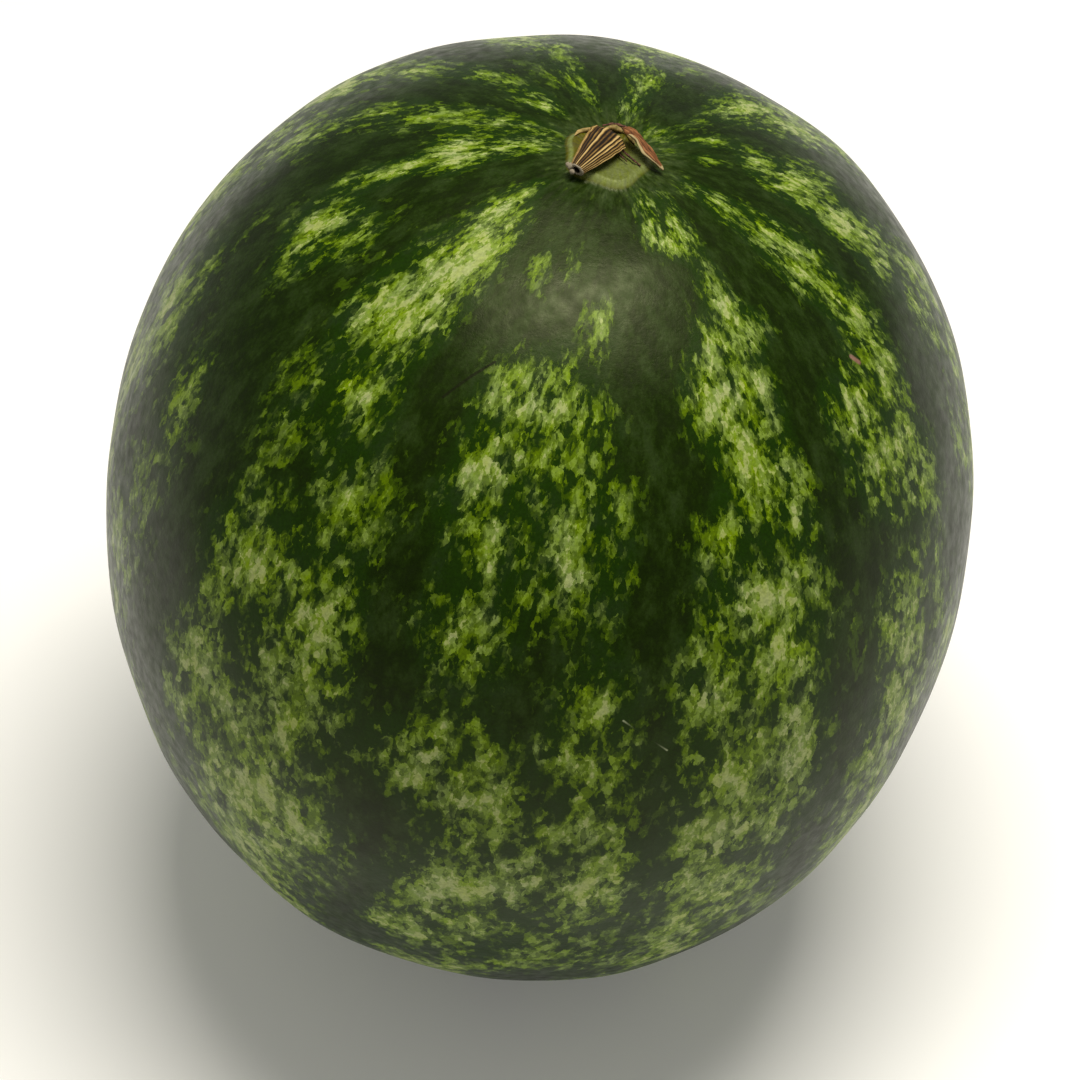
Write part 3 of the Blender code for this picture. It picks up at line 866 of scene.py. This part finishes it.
def makeFibreMaterial():
    # Loose dried fibres: dull pinkish brown threads.
    look = dryLook
    material, tree, shader = newMaterial("driedFibre")
    place = addNode(tree, "ShaderNodeAttribute", {"attribute_name": "stemPlace"}, out=1)
    grain = addNode(tree, "ShaderNodeTexNoise", None,
                    {"Vector": place, "Scale": 1 / look["fibreGrain"], "Detail": 3, "Roughness": 0.6})
    colour = layColours(tree, hexColour(look["fibreDark"]), ((grain, 0.38, 0.58, look["fibre"]),))
    finishDry(tree, shader, colour, grain, 0.08 * mm)
    return material


camera = {
    "elevationDegrees": 45.67,
    "distanceInRadii": 12.0,
    "lens": 177.0,
    "aimBelow": 0.0469,            # in fruit radii, so the fruit stands a little high in the frame
    "aimRight": 0.0033,
}
studio = {
    "floorSize": 30,               # metres
    "floorColour": "#f2f2f0",
    "floorRoughness": 0.9,
    "floorGlow": 0.1,              # the floor is lit a little from below, which keeps its shadow pale
    "skyColour": "#faf7ee",
    "skyStrength": 0.32,
    "keyDirection": (0.12, 0.02, 0.97),
    "keyDistance": 1.4,
    "keySize": (0.88, 0.34),
    "keyPower": 25.0,
    "keyColour": "#fffaf0",
}


def makeCamera():
    tilt = math.radians(camera["elevationDegrees"])
    back = Vector((0, -math.cos(tilt), math.sin(tilt)))
    up = Vector((0, math.sin(tilt), math.cos(tilt)))
    target = fruitMiddle - up * camera["aimBelow"] * fruitRadius
    target += Vector((1, 0, 0)) * camera["aimRight"] * fruitRadius
    data = bpy.data.cameras.new("camera")
    data.lens = camera["lens"]
    data.clip_end = 100
    eye = newObject("camera", data)
    eye.location = target + back * camera["distanceInRadii"] * fruitRadius
    eye.rotation_euler = (math.pi / 2 - tilt, 0, 0)
    bpy.context.scene.camera = eye


def makeStudio():
    # Matt studio paper for the floor: it spreads light evenly and mirrors nothing.
    bpy.ops.mesh.primitive_plane_add(size=studio["floorSize"])
    floor = bpy.context.object
    floor.name = "floor"
    material, tree, shader = newMaterial("mattPaper")
    shader.inputs["Base Color"].default_value = hexColour(studio["floorColour"])
    shader.inputs["Roughness"].default_value = studio["floorRoughness"]
    shader.inputs["Emission Color"].default_value = hexColour(studio["floorColour"])
    shader.inputs["Emission Strength"].default_value = studio["floorGlow"]
    floor.data.materials.append(material)

    world = bpy.data.worlds.new("studio")
    bpy.context.scene.world = world
    world.use_nodes = True
    sky = world.node_tree.nodes["Background"]
    sky.inputs["Color"].default_value = hexColour(studio["skyColour"])
    sky.inputs["Strength"].default_value = studio["skyStrength"]

    key = bpy.data.lights.new("overheadSoftbox", "AREA")
    key.shape = "RECTANGLE"
    key.size, key.size_y = studio["keySize"]
    key.energy = studio["keyPower"]
    key.color = hexColour(studio["keyColour"])[:3]
    lamp = newObject("overheadSoftbox", key)
    direction = Vector(studio["keyDirection"]).normalized()
    lamp.location = fruitMiddle + direction * studio["keyDistance"]
    upright = direction.cross(Vector((1, 0, 0))).normalized()  # its long side runs from left to right
    sides = (upright.cross(direction), upright, direction)
    lamp.rotation_euler = Matrix(sides).transposed().to_euler()
    bpy.context.scene.view_settings.view_transform = "Standard"


def finishPiece(piece, material, node=None):
    piece.data.materials.append(material)
    piece.data.shade_smooth()
    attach(piece, "root")
    if node:
        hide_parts(node)


makeCamera()
makeStudio()
print("camera and studio set")

finishPiece(makeMelon(), makeRindMaterial(), "melon")
print("melon dressed")

stemMaterial = makeStemMaterial()
finishPiece(makeStem(), stemMaterial, "stem")
finishPiece(makeCollarLip(), stemMaterial)
finishPiece(makeFlap(), makeSkinMaterial(), "stem_flap")
finishPiece(makeFibres(), makeFibreMaterial())
print("stem, collar lip, peeled skin and fibres made")
